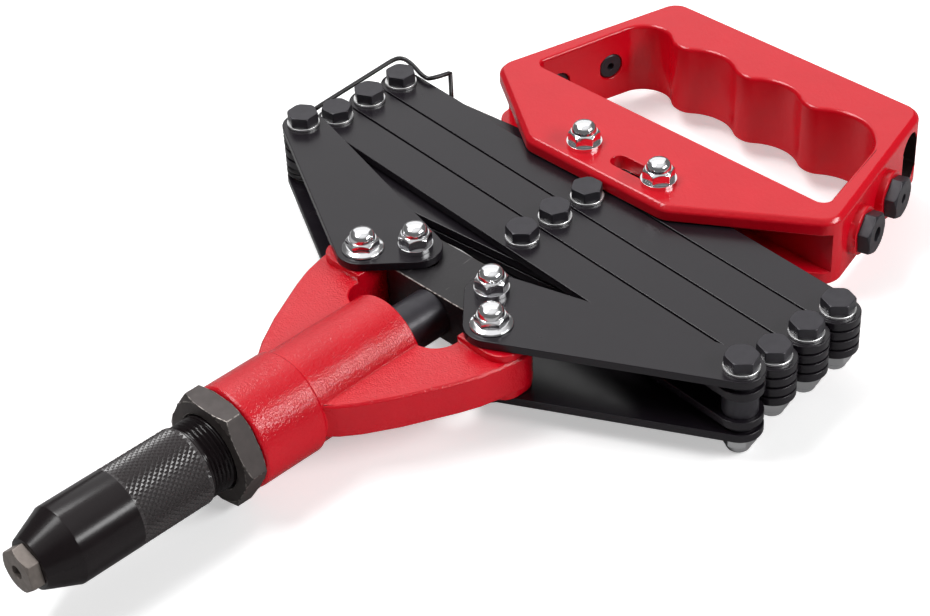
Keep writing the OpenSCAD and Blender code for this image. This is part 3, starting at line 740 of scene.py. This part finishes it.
def cap_nut_shape(flange=0):
    """Cap nut with a low dome, closed round its thread hole, and perhaps a flange at its foot."""
    outline = hexagon(FLATS)
    side, end = chamfered(outline, NUT_CUT, NUT_HEIGHT, NUT_SLOPE)
    rings = [(0, BORE_DEPTH), (BORE_RADIUS, BORE_DEPTH), (BORE_RADIUS, 0)]
    if flange:
        rings += [(flange - 0.05, 0), (flange, 0.35), (flange - 0.25, 0.75),
            (flange - 1.55, FLANGE_HEIGHT), ring_at(outline, FLANGE_HEIGHT)]
    else:
        rings += [(FOOT_RADIUS, 0), ring_at(outline, 0.15)]
    piece = turned("cap_nut", rings + [side, end] + DOME, FASTENER_SEGMENTS)
    round_edges(piece, width=0.14, angle=28)
    return piece


def washer_shape(radius, thick):
    """Flat washer whose underside is at 0."""
    rings = [(BORE_RADIUS, 0), (radius, 0), (radius, thick), (BORE_RADIUS, thick), (BORE_RADIUS, 0)]
    piece = turned("washer", rings, segments=48)
    round_edges(piece, width=0.12, angle=30)
    return piece


def fastener_set(node, shape, places, height, turns, below=False, washer=None):
    """Copies of a fastener as one piece that takes a node's place, one at each place. Each is
    turned by its own number of degrees and bears at a height above the middle plane, or as far
    below it. With a washer, one copy of it is under the first of them and one is mirrored."""
    copies = []
    if washer:
        for flip in (OVER, UNDER):
            lift = Matrix.Translation((0, 0, height - washer.dimensions.z))
            axis = Matrix.Translation(places[0].xy.to_3d())
            copies.append(moved_copy(washer, axis @ flip @ lift))
    for place, turn in zip(places, turns):
        seat = Matrix.Translation((place.x, place.y, -height if below else height))
        spin = Matrix.Rotation(math.radians(turn), 4, "Z")
        copies.append(moved_copy(shape, seat @ spin @ (UNDER if below else OVER)))
    fit(joined(node + "_finished", copies), node, finishes[slot_of[node]])


def add_link_fasteners(cap_nut):
    """The bolts and nuts of the links. The right end pivot has a bolt of its own."""
    seat = seat_height("outer_4_bolt")
    bolt = bolt_shape(2 * seat + NUT_GRIP)
    for k in range(1, LINK_PAIRS):
        places = [side_pivot(k, RIGHT), centre_pivot(k), side_pivot(k + 1, LEFT)]
        if k == 1:
            places.pop(0)
        fastener_set(f"outer_{k}_bolts", bolt, places, seat, turns=(11, 34, 57))
        fastener_set(f"outer_{k}_nuts", cap_nut, places, seat, turns=(7, 26, 45), below=True)
    last = [side_pivot(LINK_PAIRS, RIGHT)]
    fastener_set("outer_4_bolt", bolt, last, seat, turns=(11,))
    fastener_set("outer_4_nut", cap_nut, last, seat, turns=(7,), below=True)
    discard(bolt)


def add_crank_fasteners(cap_nut):
    """The bolts and nuts of the two end pivots, and those that the cranks turn on."""
    seat = seat_height("left_end_bolt")
    bolt = bolt_shape(2 * seat + NUT_GRIP)
    for side, end, turn, nut_turn in ((LEFT, "left_end", 5, 17), (RIGHT, "right_end", 15, 3)):
        place = [side_pivot(1, side)]
        fastener_set(end + "_bolt", bolt, place, seat, turns=(turn,))
        fastener_set(end + "_nut", cap_nut, place, seat, turns=(nut_turn,), below=True)
    head_seat = seat_height("head_pivot_bolts", below=True)
    flange_nut = cap_nut_shape(FLANGE_RADIUS)
    reach = Vector((0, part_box("head_pivot_nuts")[1].y / MM - FLANGE_RADIUS, 0))
    pivots = [middle("head_pivot_nuts") + side * reach for side in (LEFT, RIGHT)]
    fastener_set("head_pivot_bolts", bolt, pivots, head_seat, turns=(20, 20), below=True)
    fastener_set("head_pivot_nuts", flange_nut, pivots, head_seat, turns=(12, 12))
    discard(bolt, flange_nut)


def add_through_bolts(names, cap_nut, washer, turn, nut_turns):
    """Bolts of one length from below, each with its cap nut and two washers."""
    bolt = bolt_shape(2 * seat_height(names[0] + "_bolt", below=True) + NUT_GRIP)
    for name, nut_turn in zip(names, nut_turns):
        seat = seat_height(name + "_bolt", below=True)
        place = [middle(name + "_bolt")]
        fastener_set(name + "_bolt", bolt, place, seat, turns=(turn,), below=True)
        fastener_set(name + "_nut", cap_nut, place, seat, turns=(nut_turn,), washer=washer)
    discard(bolt, washer)


def add_fasteners():
    cap_nut = cap_nut_shape()
    crosshead_washer = washer_shape(radius=5.9, thick=1.7)
    handle_washer = washer_shape(radius=6.33, thick=1.5)
    crosshead_bolts = ("left_crosshead", "right_crosshead")
    handle_bolts = ("handle_pivot", "slot")
    add_link_fasteners(cap_nut)
    add_crank_fasteners(cap_nut)
    add_through_bolts(crosshead_bolts, cap_nut, crosshead_washer, turn=35, nut_turns=(28, 28))
    add_through_bolts(handle_bolts, cap_nut, handle_washer, turn=40, nut_turns=(14, 22))
    discard(cap_nut)


add_fasteners()


# Castings: where their edges are rounded, and how wide

CAST_EDGE = 0.6
BORE_EDGE = 0.3
BARREL_BACK = 106
BARREL_BORE = 13
FLANGE_EDGE = 1.3
GRIP_EDGE = 1.5
GRIP_FRONT = 50
RIM_HEIGHT = 12.6
SLOT_EDGE = 0.4
SLOT_LENGTH = 16.9
SLOT_REACH = 3.6
SEAT_REACH = 8

# The z of a face's direction: at least FLAT on a level face, at most UPRIGHT on an upright one

FLAT = 0.9
UPRIGHT = 0.2

# Shape of the handle: its half height at the pivot and how that grows, its spot faces, its hollow

HANDLE_TOP = 13.4
HANDLE_SLOPE = 0.015
SPOT_REACH = (10, 30)
SPOT_DEPTH = 0.6
GRIP_MIDDLE = 83.2
HOLLOW_REACH = (6.4, 10.7)
HOLLOW_END = (27, 32)
ALONG_GRIP = 0.3

handle_pivot = middle("handle_pivot_bolt")
slot_pivot = middle("slot_bolt")


def head_edge(point, first, second):
    """Width of a rounded edge of the head: the rims of its bore are the sharpest."""
    in_bore = point.x < BARREL_BACK and math.hypot(point.y, point.z) < BARREL_BORE
    return BORE_EDGE if in_bore else CAST_EDGE


def handle_edge(point, first, second):
    """Width of a rounded edge of the handle: the grip's rim is the softest, and the upright
    edges and those round the washers' seats stay sharp."""
    slot_end = handle_pivot.y - SLOT_LENGTH
    nearest = Vector((slot_pivot.x, min(max(point.y, slot_pivot.y), slot_end)))
    from_slot = (point.xy - nearest).length
    if min(from_slot, (point.xy - handle_pivot.xy).length) < SEAT_REACH:
        return SLOT_EDGE if from_slot < SLOT_REACH else 0
    steepest, flattest = sorted((abs(first.z), abs(second.z)))
    if flattest < UPRIGHT:
        return 0
    if flattest > FLAT and steepest < UPRIGHT and abs(point.z) > RIM_HEIGHT:
        return GRIP_EDGE if point.x - handle_pivot.x > GRIP_FRONT else FLANGE_EDGE
    return CAST_EDGE


def fill_spot_faces(mesh):
    """Lifts the handle's shallow spot faces to its surface, because the coat hides them."""
    for point in mesh.vertices:
        x, y, z = point.co / MM
        from_pivot = x - handle_pivot.x
        surface = HANDLE_TOP + HANDLE_SLOPE * from_pivot
        near = abs(from_pivot) < SPOT_REACH[0] and abs(y) < SPOT_REACH[1]
        if near and surface - SPOT_DEPTH < abs(z) < surface:
            point.co.z = math.copysign(surface * MM, z)


def paint_hollow_shade(mesh):
    """Gives the faces of the grip's hollow, its sides and its end, the second material, which paints
    shade there.
    """
    for face in mesh.polygons:
        x, y, z = face.center / MM
        across = abs(x - (handle_pivot.x + GRIP_MIDDLE))
        on_side = abs(face.normal.y) < ALONG_GRIP
        on_end = HOLLOW_END[0] < y < HOLLOW_END[1]
        inside = across < HOLLOW_REACH[0] and abs(z) < HOLLOW_REACH[1]
        if inside and (on_side or on_end):
            face.material_index = SECOND_SLOT


def castings():
    head = copied("head_casting", red_head)
    round_outer_edges(head, head_edge, CAST_EDGE)
    # The grip's hollow takes the painted shade as its second finish
    handle = copied("handle_casting", second=hollow_shade, change=fill_spot_faces)
    round_outer_edges(handle, handle_edge, GRIP_EDGE)
    paint_hollow_shade(handle.data)


castings()


# Plates, washers, pull bar, nosepieces and latch

PLATE_EDGE = 0.28
WASHER_EDGE = 0.12


def soften_stack():
    """Rounds the edges of all plates, washers and sleeves."""
    for node in nodes:
        if slot_of[node] == "plate_black":
            softened(node, PLATE_EDGE)
        elif node == "outer_1_pin_sleeve":
            softened(node, WASHER_EDGE, steps=1, finish=finishes["bolt_black"])
        elif slot_of[node] == "zinc":
            softened(node, WASHER_EDGE, steps=1)


soften_stack()
softened("drawbar", width=0.3, finish=finishes["bolt_black"])
softened("crosshead", width=0.35, second=worn)
softened("nosepiece", width=0.2, whole=False)
softened("spare_nosepieces", width=0.2, finish=finishes["bolt_black"], whole=False)
smooth(copied("latch_wire"), angle=60)


# Light, world and floor, in metres

TOOL_MIDDLE = (0.17, 0, 0)
TOOL_FRONT = (0.10, 0, 0)
FILL_LIGHT = 0.1
MIRRORED_LIGHT = (0.14, 0.95)
OVERHEAD = (0.6, 1.0)
FLOOR_SIZE = 12
FLOOR_COLOUR = (0.93, 0.93, 0.93, 1)
FLOOR_LIFT = 0.45
FLOOR_MIRRORED = 0.4


def softbox(name, place, target, wide, high, glow):
    """A soft light of a given size, whose surface shows as bright as glow."""
    bpy.ops.object.light_add(type="AREA", location=place)
    light = bpy.context.object
    light.name = name
    light.rotation_euler = (Vector(place) - Vector(target)).to_track_quat("Z", "Y").to_euler()
    light.data.shape = "RECTANGLE"
    light.data.size = wide
    light.data.size_y = high
    light.data.energy = glow * math.pi * wide * high


def add_world():
    """A white background for the camera, little light from it, and a bright sky for mirrors."""
    world = bpy.data.worlds.new("studio")
    scene.world = world
    world.use_nodes = True
    shader = Shader(world.node_tree)
    seen = shader.node("ShaderNodeLightPath", {}, {}, "Is Camera Ray")
    mirrored = shader.node("ShaderNodeLightPath", {}, {}, "Is Glossy Ray")
    direction = shader.node("ShaderNodeTexCoord", {}, {}, "Generated")
    height = shader.node("ShaderNodeSeparateXYZ", {}, {"Vector": direction}, "Z")
    background = world.node_tree.nodes["Background"]
    background.inputs["Color"].default_value = (1, 1, 1, 1)
    low, high = MIRRORED_LIGHT
    sky = (low - FILL_LIGHT) + (high - low) * height.rise(*OVERHEAD)
    strength = FILL_LIGHT + (1 - FILL_LIGHT) * seen + mirrored * sky
    shader.feed(background.inputs["Strength"], strength)


def add_floor():
    """A matt floor that looks lighter to the camera and darker in mirrors than it is."""
    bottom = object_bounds()[0].z
    bpy.ops.object.select_all(action="DESELECT")
    bpy.ops.mesh.primitive_plane_add(size=FLOOR_SIZE, location=(*TOOL_MIDDLE[:2], bottom))
    floor = bpy.context.object
    floor.name = "floor"
    material = bpy.data.materials.new("floor")
    material.use_nodes = True
    shader = Shader(material.node_tree)
    matt = shader.node("ShaderNodeBsdfDiffuse", {}, {"Color": FLOOR_COLOUR})
    mirrored = shader.node("ShaderNodeLightPath", {}, {}, "Is Glossy Ray")
    dimmed = shader.node("ShaderNodeMixShader", {}, {0: mirrored * (1 - FLOOR_MIRRORED), 1: matt})
    seen = shader.node("ShaderNodeLightPath", {}, {}, "Is Camera Ray")
    lift = shader.node("ShaderNodeEmission", {}, {"Color": seen * FLOOR_LIFT, "Strength": 1.0})
    surface = shader.node("ShaderNodeAddShader", {}, {0: dimmed, 1: lift})
    shader.feed(material.node_tree.nodes["Material Output"].inputs["Surface"], surface)
    floor.data.materials.append(material)


softbox("sheen", (0.97, 0.89, 0.92), TOOL_MIDDLE, wide=1.5, high=1.5, glow=0.9)
softbox("key", (-0.08, 0.62, 1.30), TOOL_MIDDLE, wide=1.25, high=0.48, glow=8.6)
softbox("strip", (0.60, -0.90, 0.70), TOOL_FRONT, wide=0.8, high=0.22, glow=15.0)
add_world()
add_floor()
